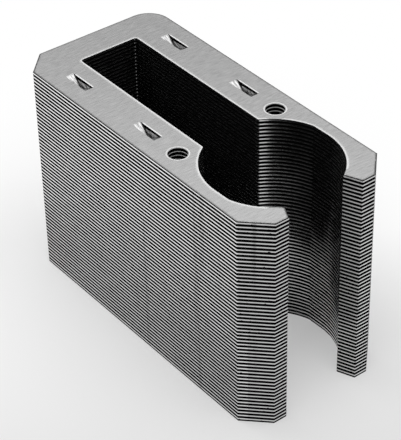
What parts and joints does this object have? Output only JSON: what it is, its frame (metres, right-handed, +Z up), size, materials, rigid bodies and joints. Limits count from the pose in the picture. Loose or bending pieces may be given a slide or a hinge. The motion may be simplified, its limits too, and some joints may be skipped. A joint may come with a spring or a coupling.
{
  "type": "stator lamination stack",
  "caption": "U-shaped stack of punched electrical-steel laminations for a small synchronous motor, with a stepped rotor bore between flared pole tips and two screw holes.",
  "frame": {"origin": "middle of the outline, on the underside of the bottom lamination", "axes": "+X along the limbs towards the open end, +Y across the limbs towards the one with the rounded outer corner, +Z up the stack, away from the two lowest laminations, which are pierced through"},
  "size_m": [0.0436, 0.0198, 0.028],
  "materials": {
    "electrical_steel": "bare rolled sheet with punched edges"
  },
  "bodies": {
    "root": {"lamination_01": "electrical_steel", "lamination_02": "electrical_steel", "lamination_03": "electrical_steel", "lamination_04": "electrical_steel", "lamination_05": "electrical_steel", "lamination_06": "electrical_steel", "lamination_07": "electrical_steel", "lamination_08": "electrical_steel", "lamination_09": "electrical_steel", "lamination_10": "electrical_steel", "lamination_11": "electrical_steel", "lamination_12": "electrical_steel", "lamination_13": "electrical_steel", "lamination_14": "electrical_steel", "lamination_15": "electrical_steel", "lamination_16": "electrical_steel", "lamination_17": "electrical_steel", "lamination_18": "electrical_steel", "lamination_19": "electrical_steel", "lamination_20": "electrical_steel", "lamination_21": "electrical_steel", "lamination_22": "electrical_steel", "lamination_23": "electrical_steel", "lamination_24": "electrical_steel", "lamination_25": "electrical_steel", "lamination_26": "electrical_steel", "lamination_27": "electrical_steel", "lamination_28": "electrical_steel", "lamination_29": "electrical_steel", "lamination_30": "electrical_steel", "lamination_31": "electrical_steel", "lamination_32": "electrical_steel", "lamination_33": "electrical_steel", "lamination_34": "electrical_steel", "lamination_35": "electrical_steel", "lamination_36": "electrical_steel", "lamination_37": "electrical_steel", "lamination_38": "electrical_steel", "lamination_39": "electrical_steel", "lamination_40": "electrical_steel", "lamination_41": "electrical_steel", "lamination_42": "electrical_steel", "lamination_43": "electrical_steel", "lamination_44": "electrical_steel", "lamination_45": "electrical_steel", "lamination_46": "electrical_steel", "lamination_47": "electrical_steel", "lamination_48": "electrical_steel", "lamination_49": "electrical_steel", "lamination_50": "electrical_steel", "lamination_51": "electrical_steel", "lamination_52": "electrical_steel", "lamination_53": "electrical_steel", "lamination_54": "electrical_steel", "lamination_55": "electrical_steel", "lamination_56": "electrical_steel"}
  },
  "joints": []
}
